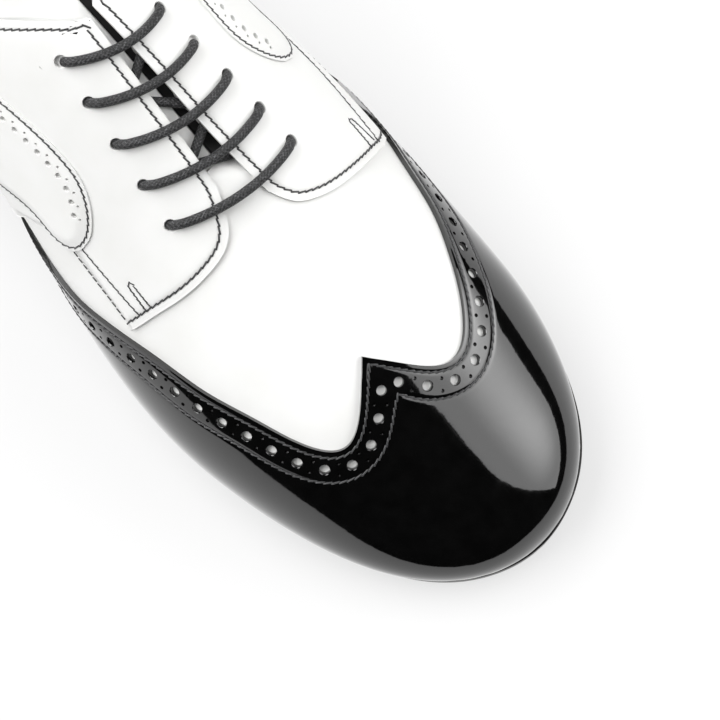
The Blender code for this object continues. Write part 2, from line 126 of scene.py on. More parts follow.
# The fold along the medial facing: its ridge as a share of the half gap, its depth and girth, and its ends
TONGUE_RIDGE, TONGUE_FOLD, TONGUE_FOLD_GIRTH = 0.1, 5.0, 0.011
FOLD_FRONT, FOLD_FRONT_REACH = 162.0, 8.0
FOLD_TOP, FOLD_TOP_REACH = 93.0, 12.0
# Where the tongue's outer side takes the black lining material as painted shade in the fold beside the medial
# facing, as shares along and across the tongue
SHADE_PAINT_ALONG, SHADE_PAINT_ACROSS = (0.06, 0.84), 0.518
LATERAL_EYELET, LATERAL_STEP = (159.5, 0.3965), (-12.1, 0.0057)
MEDIAL_EYELET, MEDIAL_STEP = (164.1, 0.6235), (-11.7, -0.0045)
LACE_BARS, LACE_BOW = 5, 4.5
# Margin of the sole: station, lateral and medial
MARGIN_ROWS = (
    (0, 4.6, 4.6), (60, 3.4, 3.0), (120, 1.6, 0.8), (160, 2.6, 2.4), (200, 4.2, 5.6), (235, 4.6, 7.6),
    (262, 4.4, 6.9), (278, 4.5, 5.6), (288, 3.4, 3.4),
)
INSOLE_THICK, INSOLE_MARGIN = 2.0, -0.8
HEEL_BREAST = 68.0
LIFT_THICK = 6.0
HEEL_TAPER = 0.05
# The sole's outline starts this far from heel and toe, and the heel's layers lie this far apart
TIP, HEEL_GAP = 0.02, 0.02

# Layers of leather, as offsets from the last. Overlays are skived thin at their edges
UPPER_LAYER = (0.0, 1.55)
OVERLAY_LAYER = (1.62, 3.1)
COUNTER_LAYER = (3.15, 4.45)
TONGUE_LAYER = (-3.15, -1.6)
SKIVE_DEPTH, SKIVE_REACH = 0.45, 5.0
WING_SKIVE, COUNTER_SKIVE = 0.12, 0.9
EDGE_ROUND, SOLE_ROUND, BOARD_ROUND, HEEL_ROUND = 0.4, 0.9, 0.5, 0.3

# Sewing: pitch and thread of a row, and how deep and wide it pulls the leather in
STITCH_PITCH, STITCH_LONG, STITCH_THICK = 2.2, 2.75, 0.56
STITCH_SLANT = math.radians(11)
STITCH_PULL, PULL_HALF = 0.2, 0.5
# A stitch climbs by a share of its length, and stands this far above the bottom of its furrow
STITCH_CLIMB, STITCH_STAND = 0.06, 0.12

# Rows of the quarters: the facing's row by its inset from the edge, and where on the edge it starts
FACING_ROW, FACING_ROW_EASE = 2.4, 12
FACING_FROM = {"lateral": 8, "medial": 10}
# The two rows along the lower edge, and the tack at the front, as station and girth
QUARTER_LOWER_ROWS = {
    "lateral": (
        ((70, 0.2), (145.5, 0.226), (160, 0.233), (167.9, 0.2345)),
        ((70, 0.22), (145, 0.2495), (169.6, 0.267)),
    ),
    "medial": (
        ((70, 0.14), (150, 0.163), (174.3, 0.172)),
        ((70, 0.18), (153, 0.2105), (176.4, 0.2225)),
    ),
}
TACK = {
    "lateral": ((170.1, 0.2818), (161.6, 0.2823), (161.6, 0.290), (170.6, 0.2922)),
    "medial": ((176.3, 0.2323), (168.1, 0.2425), (168.1, 0.252), (177.0, 0.2524)),
}
# Length and thickness of the stitches in the lowest row, the row above it and the tack, as shares
LOWEST_STITCH = {"lateral": (0.66, 0.7), "medial": (0.6, 0.75)}
SECOND_STITCH, TACK_STITCH = (0.88, 0.75), (0.65, 0.75)
TACK_PITCH = 1.5
# How far the leather is thinned under the facing's row and under the lowest row
FACING_ROW_THIN, LOWEST_ROW_THIN = SKIVE_DEPTH * 0.5, 0.75
# The lower edge is feathered out over a reach to this thickness, and a furrow leaves this much leather
FEATHER_REACH, FEATHER_LEFT, FURROW_LEFT = 4.0, 0.12, 0.1
# Columns of a quarter's grid lie closer in this strip along its front, and rows closer at both edges
FRONT_STRIP, ROWS_CROWDED = 7.0, 0.11

# Sewing and brogue of the counter: insets from its edge, step, first hole and hole sizes
COUNTER_ROW, COUNTER_HOLES, COUNTER_PINHOLES = 1.0, 4.6, 3.1
COUNTER_PITCH, COUNTER_FIRST, COUNTER_HOLES_END = 4.3, 3.0, 1.6
COUNTER_HOLE_RADIUS, COUNTER_PINHOLE_RADIUS = 0.85, 0.38
COUNTER_ROW_STEP, COUNTER_ROW_EASE = 0.6, 10
COUNTER_ROW_THIN = COUNTER_SKIVE * 0.7
# The counter stops short of its nose's tip by this, and its lower row starts this far up the edge's rise
NOSE_BLUNT, COUNTER_LOW_START = 0.2, 6.0

# Brogue band of the wing cap: insets from the cut edge, hole sizes and steps
BAND_UPPER_ROW, BAND_HOLES, BAND_LOWER_ROW, BAND_END = 1.8, 5.35, 9.3, 12.6
HOLE_RADIUS = 1.45
HOLE_FIRST, HOLE_PITCH = {"lateral": 3.5, "medial": 4.5}, {"lateral": 8.0, "medial": 8.6}
PINHOLE_RADIUS, PINHOLE_OUT, PINHOLE_DEPTH = 0.5, 1.75, 0.9
# Way from the peak over which the two branches of the band run together
PEAK_REACH = 3.0
# Punches go this far past the underside of an overlay and of the counter
CUT_PAST, COUNTER_CUT_PAST = 0.6, 0.3

# The round waxed lace
LACE_RADIUS = 1.4
LACE_OVER = OVERLAY_LAYER[1] + LACE_RADIUS + 0.1
LACE_UNDER = 0.05
# Ends of a bar turn down, and the cord's ends are rounded over this length
LACE_DOWN, LACE_END = 1.6, 1.2
LACE_STEP, LACE_EASE, LACE_AROUND = 0.4, 6, 14
BRAID_PITCH, BRAID_STRANDS = 1.2, 8.0
# Hidden runs press a bed into the upper: its depth, flat half width and fall
LACE_BED, LACE_BED_FLAT, LACE_BED_FALL, LACE_BED_STEP = 3.2, 1.2, 3.2, 0.5
EYELET_RADIUS = 1.7


def lerp(start, end, share):
    return start + (end - start) * share


def smooth_step(share):
    share = np.clip(share, 0.0, 1.0)
    return share * share * (3 - 2 * share)


def unit(vectors):
    return vectors / np.linalg.norm(vectors, axis=-1, keepdims=True)


def spline(rows):
    """Natural cubic splines through a table's columns, read by its first column."""
    table = np.array(rows, float)
    x, y = table[:, 0], table[:, 1:]
    step = np.diff(x)
    count = len(x)
    matrix, right = np.eye(count), np.zeros_like(y)
    for i in range(1, count - 1):
        matrix[i, i - 1 : i + 2] = step[i - 1], 2 * (step[i - 1] + step[i]), step[i]
        right[i] = 6 * ((y[i + 1] - y[i]) / step[i] - (y[i] - y[i - 1]) / step[i - 1])
    bend = np.linalg.solve(matrix, right)

    def value(at):
        at = np.asarray(at, float)
        i = np.clip(np.searchsorted(x, at) - 1, 0, count - 2)
        width = step[i][..., None]
        left, past = (x[i + 1] - at)[..., None], (at - x[i])[..., None]
        cubic = (bend[i] * left**3 + bend[i + 1] * past**3) / (6 * width)
        from_left = (y[i] / width - bend[i] * width / 6) * left
        from_right = (y[i + 1] / width - bend[i + 1] * width / 6) * past
        return np.moveaxis(cubic + from_left + from_right, -1, 0)

    return value


SECTION = spline(SECTION_ROWS)
GAP = spline(GAP_ROWS)
TOPLINE = spline(TOPLINE_ROWS)
FRONT = {side: spline(rows) for side, rows in FRONT_ROWS.items()}
COUNTER_TOP = spline(COUNTER_TOP_ROWS)
MARGIN = spline(MARGIN_ROWS)


def round_end(distance, reach, power):
    """Share of the full size at a distance from a round end."""
    share = np.clip(distance / reach, 0.0, 1.0)
    return np.sqrt(1 - (1 - share) ** power)


def sole_top(station):
    """Height of the sole's upper face: heel seat, arch, flat ball and toe spring."""
    spring = TOE_SPRING * (np.maximum(station - BALL_FRONT, 0.0) / (LAST_LENGTH - BALL_FRONT)) ** 2
    return SOLE_THICK + spring + HEEL_RISE * smooth_step((BALL_REAR - station) / (BALL_REAR - HEEL_SEAT_END))


def last_point(station, girth):
    """A point of the last in millimetres."""
    station = np.clip(station, 0.0, LAST_LENGTH)
    lateral, medial, ridge, height, widest, fullness = SECTION(station)
    toe_plan = round_end(LAST_LENGTH - station, TOE_PLAN_REACH, TOE_PLAN_POWER)
    toe_top = round_end(LAST_LENGTH - station, TOE_TOP_REACH, TOE_TOP_POWER)
    ends = toe_plan * round_end(station, HEEL_PLAN_REACH, HEEL_PLAN_POWER)
    middle = (medial - lateral) / 2
    under = np.arcsin(widest / (height - widest))
    angle = np.pi + under - girth * (np.pi + 2 * under)
    rise = np.sin(angle)
    above = toe_top * lerp(widest, height, rise)
    width = (medial + lateral) / 2 * ends * np.cos(angle) * (1 + fullness * rise * rise)
    past = above - BACK_BULGE_HEIGHT
    lean_up = BACK_LEAN_ABOVE * (past / (BACK_TOP_HEIGHT - BACK_BULGE_HEIGHT)) ** 2
    lean_down = BACK_LEAN_BELOW * (past / BACK_BULGE_HEIGHT) ** 2
    lean = np.maximum(1 - station / BACK_LEAN_REACH, 0.0) ** 2 * np.where(past > 0, lean_up, lean_down)
    across = middle + (ridge - middle) * ends * rise * rise + width
    return np.stack((station + lean, across, sole_top(station) + SEAM_GAP + above), axis=-1)


def chart(station, girth):
    """Flat pattern of the shoe: its origin is the toe tip, and the feather line runs along its first axis."""
    reach = np.sqrt(np.maximum(LAST_LENGTH - station, 0.0))
    return -reach * np.cos(np.pi * girth), reach * np.sin(np.pi * girth)


def unchart(across, up):
    girth = 1 - np.arctan2(up, across) / np.pi
    return LAST_LENGTH - across * across - up * up, np.where(girth > 1.5, girth - 2, girth)


def outward(station, girth):
    """The last's outward direction, never below level."""
    slope = 0.004
    across, up = chart(station, girth)
    toe_along = last_point(*unchart(across + slope, up)) - last_point(*unchart(across - slope, up))
    toe_rising = last_point(*unchart(across, up + slope)) - last_point(*unchart(across, up - slope))
    low = np.minimum(girth, 1 - girth)
    way = np.sqrt(np.maximum(station, 0.0)) * np.where(girth < 0.5, -1, 1)

    def heel_point(at, share):
        return last_point(at * at, np.where(at < 0, share, 1 - share))

    heel_along = heel_point(way - slope, low) - heel_point(way + slope, low)
    heel_rising = heel_point(way, low + slope) - heel_point(way, low - slope)
    ahead = (np.asarray(station) > LAST_LENGTH / 3)[..., None]
    normal = np.cross(np.where(ahead, toe_along, heel_along), np.where(ahead, toe_rising, heel_rising))
    normal[..., 2] = np.maximum(normal[..., 2], 0.0)
    return unit(normal)


def placed(points):
    """Points of the finished shoe in metres, from their places on the last."""
    return (points - (MIDDLE_X, MIDDLE_Y, 0.0)) * MM


def skin(station, girth, offset):
    """Points at an offset from the last, in metres."""
    offset = np.broadcast_to(np.asarray(offset, float), np.shape(station))
    return placed(last_point(station, girth) + outward(station, girth) * offset[..., None])


def nearest(points, line):
    """Distance in millimetres from each point to the nearest point of a dense line."""
    tree = KDTree(len(line))
    for i, point in enumerate(line):
        tree.insert(point, i)
    tree.balance()
    return np.array([tree.find(point)[2] for point in points]) / MM


def ways(points):
    """Distance along a line of points, in millimetres."""
    steps = np.linalg.norm(np.diff(points, axis=0), axis=1) / MM
    return np.concatenate(([0.0], np.cumsum(steps)))


def spaced(line, pitch, first=0.0, offset=OVERLAY_LAYER[1]):
    """Places at even steps along a line given as stations and girths."""
    way = ways(skin(*line, offset))
    at = np.arange(first, way[-1], pitch)
    return np.array([np.interp(at, way, values) for values in line])


def dense(line, pitch=0.25):
    """The same line with places close together, as points on the grain side."""
    return skin(*spaced(line, pitch), OVERLAY_LAYER[1])


def inset(line, distance):
    """A line moved over the surface to its left, seen from outside, by a distance."""
    station, girth = (np.array(values, float) for values in line)
    steps = max(int(abs(distance) / 0.4), 1)
    small = 1e-3
    for step in range(steps):
        here = last_point(station, girth)
        by_station = (last_point(station + small, girth) - here) / small
        by_girth = (last_point(station, girth + small) - here) / small
        across = np.cross(outward(station, girth), unit(np.gradient(here, axis=0))) * (distance / steps)
        a, b, c = (by_station**2).sum(-1), (by_station * by_girth).sum(-1), (by_girth**2).sum(-1)
        p, q = (by_station * across).sum(-1), (by_girth * across).sum(-1)
        station = station + (p * c - q * b) / (a * c - b * b)
        girth = girth + (q * a - p * b) / (a * c - b * b)
    return np.array((station, girth))


def frames(line, offset, slant=0.0):
    """Axes at places of a line: along it, across it and outwards, with the origin at an offset."""
    points = skin(*line, offset)
    out = outward(*line)
    along = unit(np.gradient(points, axis=0))
    across = unit(np.cross(out, along))
    turned = along * math.cos(slant) + across * math.sin(slant)
    return points, turned, np.cross(out, turned), out


def new_object(name, mesh, materials, smooth_angle=50):
    mesh.shade_smooth()
    mesh.set_sharp_from_angle(angle=math.radians(smooth_angle))
    for material in materials:
        mesh.materials.append(material)
    made = bpy.data.objects.new(name, mesh)
    bpy.context.scene.collection.objects.link(made)
    return made


def keep(piece, slot, *nodes):
    """The piece rides with the shoe and stands for solids. The slot is not used."""
    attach(piece, "root")
    if nodes:
        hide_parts(*nodes)


def panel(name, lengths, rows, place, materials, edge=EDGE_ROUND, ring=False, both=False, painted_shade_mask=None):
    """A piece made from a flat grid and its copy one step up, set in place by place(along, across, side).

    The rim of the outer side is rounded, and of the inner side too where both is set. A ring has no ends.
    The inner side has the second material, and so has the outer side where the mask of painted shade, read at
    (along, across), says so.
    """
    bm = bmesh.new()
    bmesh.ops.create_grid(bm, x_segments=lengths, y_segments=rows, size=0.5)
    raised = bmesh.ops.extrude_face_region(bm, geom=bm.faces[:])["geom"]
    bmesh.ops.translate(bm, vec=(0, 0, 1), verts=[v for v in raised if isinstance(v, bmesh.types.BMVert)])
    walls = [face for face in bm.faces if len({round(v.co.z) for v in face.verts}) == 2]
    if ring:
        ends = [face for face in walls if all(abs(v.co.x) > 0.4999 for v in face.verts)]
        bmesh.ops.delete(bm, geom=ends, context="FACES_ONLY")
        walls = [face for face in walls if face.is_valid]
    rim = {edge for face in walls for edge in face.edges if both or all(v.co.z > 0.5 for v in edge.verts)}
    rim = [edge for edge in rim if edge.verts[0].co.z == edge.verts[1].co.z]
    if len(materials) > 1:
        for face in bm.faces:
            middle = face.calc_center_median()
            # Where the mask says so, the outer side takes the second material as painted shade
            shown = painted_shade_mask is not None and painted_shade_mask(middle.x + 0.5, middle.y + 0.5)
            face.material_index = int(shown or all(v.co.z < 0.5 for v in face.verts))
    flat = np.array([v.co for v in bm.verts])
    for vert, point in zip(bm.verts, place(flat[:, 0] + 0.5, flat[:, 1] + 0.5, flat[:, 2])):
        vert.co = point
    if edge:
        bmesh.ops.bevel(
            bm, geom=rim, offset=edge * MM, offset_type="OFFSET", segments=3, profile=0.5,
            affect="EDGES", clamp_overlap=True, material=-1,
        )
    bmesh.ops.remove_doubles(bm, verts=bm.verts, dist=1e-6)
    bmesh.ops.recalc_face_normals(bm, faces=bm.faces)
    if bm.calc_volume(signed=True) < 0:
        bmesh.ops.reverse_faces(bm, faces=bm.faces)
    mesh = bpy.data.meshes.new(name)
    bm.to_mesh(mesh)
    bm.free()
    return new_object(name, mesh, materials)


def sewn(station, girth, side, layer, edge, rows, skive=SKIVE_DEPTH):
    """Points of an overlay: skived towards its edge, and pulled in along its sewing rows."""
    grain = skin(station, girth, layer[1])
    thin = skive * (1 - smooth_step(nearest(grain, edge) / SKIVE_REACH))
    pull = STITCH_PULL * np.exp(-((nearest(grain, rows) / PULL_HALF) ** 2))
    return skin(station, girth, np.where(side > 0.5, layer[1] - thin - pull, layer[0]))


def scatter(name, shape, places, materials):
    """One joined mesh of a small shape set down many times. places holds origins and three axes."""
    corners = np.array([v.co for v in shape.verts])
    faces = [[v.index for v in face.verts] for face in shape.faces]
    shape.free()
    origins, *axes = places
    points = origins[:, None] + sum(corners[None, :, i, None] * axes[i][:, None] for i in range(3))
    count = len(corners)
    mesh = bpy.data.meshes.new(name)
    joined = [[i + k * count for i in face] for k in range(len(origins)) for face in faces]
    mesh.from_pydata(points.reshape(-1, 3), [], joined)
    mesh.update()
    return new_object(name, mesh, materials)


def stitch_shape():
    """One stitch lying along X: a length of thread that rises to its front end and dips at the other."""
    bm = bmesh.new()
    bmesh.ops.create_uvsphere(bm, u_segments=8, v_segments=7, radius=STITCH_THICK / 2 * MM)
    bmesh.ops.rotate(bm, verts=bm.verts, cent=(0, 0, 0), matrix=Matrix.Rotation(math.pi / 2, 3, "Y"))
    for vert in bm.verts:
        vert.co.x += math.copysign((STITCH_LONG - STITCH_THICK) / 2 * MM, vert.co.x)
        vert.co.z += STITCH_CLIMB * vert.co.x
    bm.verts.index_update()
    return bm


def stitch_places(line, offset, pitch=STITCH_PITCH, thin=0.0, size=(1.0, 1.0)):
    """Places of the stitches of one row, and their size along and across."""
    line = spaced(line, pitch, first=pitch / 2, offset=offset)
    points, along, across, out = frames(line, offset - STITCH_PULL - thin + STITCH_STAND, STITCH_SLANT)
    return points, along * size[0], across * size[1], out * size[1]


def gathered(groups):
    return [np.concatenate(parts) for parts in zip(*groups)]


def punch(piece, places, radius, depth):
    """Cut round holes into a piece, with a rim that is rolled in at the top."""
    rim_rows = ((0.2, 1.05), (0.15, 1.1))
    straight = depth - sum(height for height, widening in rim_rows)
    bm = bmesh.new()
    bmesh.ops.create_circle(bm, cap_ends=True, segments=18, radius=radius * MM)
    for step, (height, widening) in enumerate(((straight, 1.0), *rim_rows, (1.5, 1.25))):
        top = max(bm.faces, key=lambda face: face.calc_center_median().z)
        made = bmesh.ops.extrude_face_region(bm, geom=[top])["geom"]
        verts = [v for v in made if isinstance(v, bmesh.types.BMVert)]
        # The first cap closes the bottom. A later one would stay inside the cutter, which then cuts nothing
        if step > 0 and top.is_valid:
            bmesh.ops.delete(bm, geom=[top], context="FACES_ONLY")
        bmesh.ops.translate(bm, verts=verts, vec=(0, 0, height * MM))
        bmesh.ops.scale(bm, verts=verts, vec=(widening, widening, 1))
    bmesh.ops.recalc_face_normals(bm, faces=bm.faces)
    bm.verts.index_update()
    cutter = scatter("cutter", bm, places, [])
    tool = piece.modifiers.new("holes", "BOOLEAN")
    tool.operation = "DIFFERENCE"
    tool.solver = "MANIFOLD"
    tool.object = cutter
    graph = bpy.context.evaluated_depsgraph_get()
    mesh = bpy.data.meshes.new_from_object(piece.evaluated_get(graph))
    piece.modifiers.clear()
    piece.data = mesh
    mesh.shade_smooth()
    mesh.set_sharp_from_angle(angle=math.radians(40))
    bpy.data.objects.remove(cutter)


# Materials

def linear(code):
    """Linear colour of an sRGB hex value."""
    parts = [int(code[i : i + 2], 16) / 255 for i in (1, 3, 5)]
    return (*[c / 12.92 if c <= 0.04045 else ((c + 0.055) / 1.055) ** 2.4 for c in parts], 1.0)


def node(tree, kind, inputs, **settings):
    """A node with its settings, and inputs that are values or links from another node's output."""
    made = tree.nodes.new(kind)
    for name, value in settings.items():
        setattr(made, name, value)
    for name, value in inputs.items():
        if isinstance(value, bpy.types.NodeSocket):
            tree.links.new(value, made.inputs[name])
        else:
            made.inputs[name].default_value = value
    return made


def new_material(name, values):
    """A material with its Principled shader's constant values, its tree and its object coordinates."""
    material = bpy.data.materials.new(name)
    material.use_nodes = True
    tree = material.node_tree
    shader = tree.nodes["Principled BSDF"]
    for socket, value in values.items():
        shader.inputs[socket].default_value = value
    return material, tree, shader, node(tree, "ShaderNodeTexCoord", {})


def per_mm(size):
    """Texture scale that gives a pattern a size in millimetres."""
    return 1 / (size * MM)


def noise(tree, vector, size, detail):
    """A noise value with features of a size in millimetres."""
    inputs = {"Vector": vector, "Scale": per_mm(size), "Detail": detail}
    return node(tree, "ShaderNodeTexNoise", inputs).outputs["Fac"]


def ranged(tree, value, low, high, top=1.0):
    """A value from 0 to a top turned into one from low to high."""
    inputs = {"Value": value, "From Max": top, "To Min": low, "To Max": high}
    return node(tree, "ShaderNodeMapRange", inputs).outputs["Result"]


def two_tones(tree, value, dark_at, dark, light_at, light):
    """A colour between a dark and a light tone, by a value."""
    ramp = node(tree, "ShaderNodeValToRGB", {"Fac": value})
    for element, position, tone in zip(ramp.color_ramp.elements, (dark_at, light_at), (dark, light)):
        element.position = position
        element.color = linear(tone)
    return ramp.outputs["Color"]


def bumped(tree, height, strength, distance, **inputs):
    """A normal that follows a height, with the distance in millimetres."""
    inputs.update({"Height": height, "Strength": strength, "Distance": distance * MM})
    return node(tree, "ShaderNodeBump", inputs).outputs["Normal"]


def calculated(tree, operation, *values):
    """The result of one step of arithmetic."""
    return node(tree, "ShaderNodeMath", dict(enumerate(values)), operation=operation).outputs[0]


def lead_in(tree, shader, links):
    for socket, output in links.items():
        tree.links.new(output, shader.inputs[socket])


def smooth_calf(name, light, dark, gloss):
    """Drum-dyed calf with a pigment finish: fine pores, a faint cloud of tone and a soft gloss.

    Pores of 0.2 mm are too fine for the picture, so they are drawn 0.5 mm apart.
    """
    material, tree, shader, place = new_material(name, {"IOR": 1.5, "Metallic": 0.0})
    cloud = noise(tree, place.outputs["Object"], 14, 3.0)
    pores = node(tree, "ShaderNodeTexVoronoi", {"Vector": place.outputs["Object"], "Scale": per_mm(0.5)})
    lead_in(tree, shader, {
        "Base Color": two_tones(tree, cloud, 0.3, dark, 0.7, light),
        "Roughness": ranged(tree, cloud, gloss - 0.04, gloss + 0.04),
        "Normal": bumped(tree, pores.outputs["Distance"], 0.12, 0.05),
    })
    return material


def patent_leather():
    """Black leather under a poured film of lacquer: near-mirror gloss whose edges swim a little.

    The film's face gives most of the gloss, and the leather under it a weak second sheen.
    """
    material, tree, shader, place = new_material(
        "black_patent_leather_lacquered",
        {
            "IOR": 1.5, "Metallic": 0.0, "Specular IOR Level": 0.35,
            "Coat Weight": 1.0, "Coat IOR": 1.5, "Coat Roughness": 0.035,
        },
    )
    hide = noise(tree, place.outputs["Object"], 5, 2.0)
    pores = noise(tree, place.outputs["Object"], 0.9, 1.0)
    swell = bumped(tree, hide, 0.1, 0.2)
    grain = bumped(tree, pores, 0.1, 0.03, Normal=swell)
    lead_in(tree, shader, {
        "Base Color": two_tones(tree, hide, 0.3, "#030303", 0.7, "#060606"),
        "Roughness": ranged(tree, hide, 0.05, 0.09),
        "Normal": grain,
        "Coat Normal": grain,
    })
    return material


def sewing_thread():
    """Black bonded polyester thread, twisted: dark with a grey sheen that breaks up along its twist."""
    values = {"IOR": 1.55, "Metallic": 0.0, "Sheen Weight": 0.3, "Sheen Roughness": 0.4}
    material, tree, shader, place = new_material("black_polyester_thread_twisted", values)
    twist = noise(tree, place.outputs["Object"], 0.4, 1.0)
    lead_in(tree, shader, {
        "Base Color": two_tones(tree, twist, 0.35, "#141415", 0.7, "#2c2c2e"),
        "Roughness": ranged(tree, twist, 0.35, 0.55),
    })
    return material


def waxed_braid():
    """Round cotton braid, dyed black and waxed: crossing strands, with painted sheen as paler flecks on the
    raised strands.

    The UV map runs along the cord and round it, in steps of one braid pitch and one strand.
    """
    values = {"IOR": 1.45, "Metallic": 0.0, "Sheen Weight": 0.04, "Sheen Roughness": 0.5}
    material, tree, shader, place = new_material("black_cotton_lace_braided_waxed", values)
    parts = node(tree, "ShaderNodeSeparateXYZ", {"Vector": place.outputs["UV"]})
    strands = []
    for operation in ("ADD", "SUBTRACT"):
        slant = calculated(tree, operation, parts.outputs["X"], parts.outputs["Y"])
        strands.append(calculated(tree, "PINGPONG", slant, 0.5))
    braid = calculated(tree, "MAXIMUM", *strands)
    # Painted sheen: paler flecks on the raised strands of the braid, where the wax would catch the light
    painted_sheen_flecks = calculated(tree, "MULTIPLY", braid, noise(tree, place.outputs["Object"], 0.55, 2.0))
    lead_in(tree, shader, {
        "Base Color": two_tones(tree, painted_sheen_flecks, 0.19, "#09090a", 0.29, "#525254"),
        "Roughness": ranged(tree, painted_sheen_flecks, 0.45, 0.62, top=0.3),
        "Normal": bumped(tree, braid, 0.6, 0.6),
    })
    return material


def bend_leather(name, light, dark, gloss, layer):
    """Firm sole stock, dressed, brushed or moulded: close fibre, and a line at each layer of a stack."""
    material, tree, shader, place = new_material(name, {"IOR": 1.5, "Metallic": 0.0})
    stretch = node(tree, "ShaderNodeMapping", {"Vector": place.outputs["Object"], "Scale": (1.0, 1.0, 6.0)})
    fibre = noise(tree, stretch.outputs["Vector"], 3, 6.0)
    parts = node(tree, "ShaderNodeSeparateXYZ", {"Vector": place.outputs["Object"]})
    height = calculated(tree, "PINGPONG", parts.outputs["Z"], layer * MM / 2)
    line = ranged(tree, height, 0.0, 1.0, top=0.3 * MM)
    lead_in(tree, shader, {
        "Base Color": two_tones(tree, fibre, 0.3, dark, 0.7, light),
        "Roughness": ranged(tree, fibre, gloss - 0.06, gloss + 0.06),
        "Normal": bumped(tree, calculated(tree, "MULTIPLY_ADD", fibre, 0.25, line), 0.4, 0.2),
    })
    return material


# Layer height of what is not stacked, too tall for a line to show on its sides
UNSTACKED = 40.0
WHITE_CALF = smooth_calf("white_calf_pigment_finished", "#d2d2d1", "#cececc", 0.42)
# The lining's black is real on the inner sides, and also serves as painted shade on a flank of the tongue's
# outer side
LINING_AND_PAINTED_SHADE = smooth_calf("black_sheepskin_lining_buffed_and_painted_shade", "#2b2a2a", "#232222", 0.6)
SOCK = smooth_calf("natural_calf_insole_buffed", "#cfb48d", "#c0a379", 0.55)
PATENT = patent_leather()
THREAD = sewing_thread()
BRAID = waxed_braid()
SOLE_EDGE = bend_leather("black_sole_leather_edge_dressed", "#1a1817", "#100f0e", 0.32, UNSTACKED)
STACK = bend_leather("black_stacked_leather_edge_dressed", "#1c1917", "#110f0e", 0.35, 4.5)
SOLE_FACE = bend_leather("grey_chrome_suede_brushed", "#6f6e6c", "#5f5e5c", 0.8, UNSTACKED)
RUBBER = bend_leather("black_heel_rubber_moulded", "#1d1d1d", "#151515", 0.7, UNSTACKED)


# The wing cap, its brogue band and its sewing

def eased(values, times):
    """Values along a line with small jumps evened out."""
    values = values.copy()
    for step in range(times):
        values[1:-1] = (values[:-2] + 2 * values[1:-1] + values[2:]) / 4
    return values


def eased_line(line, times):
    return np.array([eased(values, times) for values in line])


class Wing:
    """The wing's edge as two branches from the peak to the tails, and lines inside it at any inset."""

    SAMPLES, END, STEP = 500, 0.992, 0.5
    STEP_EASE, BELOW_EASE = 3, 1500
    # A line runs out at the sole at this height on the flat pattern
    RUN_OUT = 0.12

    def __init__(self):
        self.share = np.linspace(0.0, self.END, self.SAMPLES)
        self.branch = {}
        for side, rows in WING_ROWS.items():
            points = np.column_stack(chart(*np.array(rows, float).T))
            way = ways(points * MM)
            self.branch[side] = spline(np.column_stack((way / way[-1], points)))
        self.levels = {side: self.marched(side) for side in self.branch}
        # Both branches meet on one line below the peak
        peak = (self.levels["lateral"][:, 0] + self.levels["medial"][:, 0]) / 2
        for side, levels in self.levels.items():
            way = ways(placed(last_point(*unchart(*self.branch[side](self.share)))))
            levels += np.outer(peak - levels[:, 0], np.exp(-way / PEAK_REACH))
        # Below the band the pattern runs over into one smooth line
        both = np.concatenate((self.levels["lateral"][-1][::-1], self.levels["medial"][-1][1:]))
        both = eased(both, self.BELOW_EASE)
        self.smooth = {"lateral": both[: self.SAMPLES][::-1], "medial": both[self.SAMPLES - 1 :]}

    def marched(self, side):
        """Heights on the flat pattern of lines at even insets from the edge."""
        across, up = self.branch[side](self.share)
        levels = [up]
        small = 1e-3
        for step in range(int(BAND_END / self.STEP) + 1):
            here = last_point(*unchart(across, up))
            along = unit(np.gradient(here, axis=0))
            rising = (last_point(*unchart(across, up + small)) - here) / small
            square = rising - along * (rising * along).sum(-1, keepdims=True)
            up = np.maximum(up - self.STEP / np.linalg.norm(square, axis=-1), 0.0)
            up = eased(up, self.STEP_EASE)
            levels.append(up)
        return np.array(levels)

    def place(self, signed, inset_mm):
        """Station and girth at a signed share of the edge (below 0 lateral) and an inset from it."""
        signed, inset_mm = np.broadcast_arrays(np.asarray(signed, float), np.asarray(inset_mm, float))
        across, up = np.zeros(signed.shape), np.zeros(signed.shape)
        for side, mine in (("lateral", signed <= 0), ("medial", signed > 0)):
            share = np.abs(signed[mine])
            levels = self.levels[side]
            row = np.clip(inset_mm[mine] / self.STEP, 0, len(levels) - 1.001)
            column = np.clip(share / self.END * (self.SAMPLES - 1), 0, self.SAMPLES - 1.001)
            i, j = row.astype(int), column.astype(int)
            low = lerp(levels[i, j], levels[i, j + 1], column - j)
            high = lerp(levels[i + 1, j], levels[i + 1, j + 1], column - j)
            across[mine] = self.branch[side](share)[0]
            up[mine] = lerp(low, high, row - i)
        return across, up

    def below(self, signed):
        """Height on the flat pattern of the smooth line below the band."""
        sides = [np.interp(np.abs(signed), self.share, self.smooth[side]) for side in SIDES]
        return np.where(signed <= 0, *sides)

    def line(self, side, inset_mm):
        """A line at an inset, from below the peak to where it runs out at the sole."""
        sign = -1 if side == "lateral" else 1
        across, up = self.place(self.share * sign, np.full(self.SAMPLES, float(inset_mm)))
        shown = up > self.RUN_OUT
        return np.array(unchart(across[shown], up[shown]))


WING = Wing()


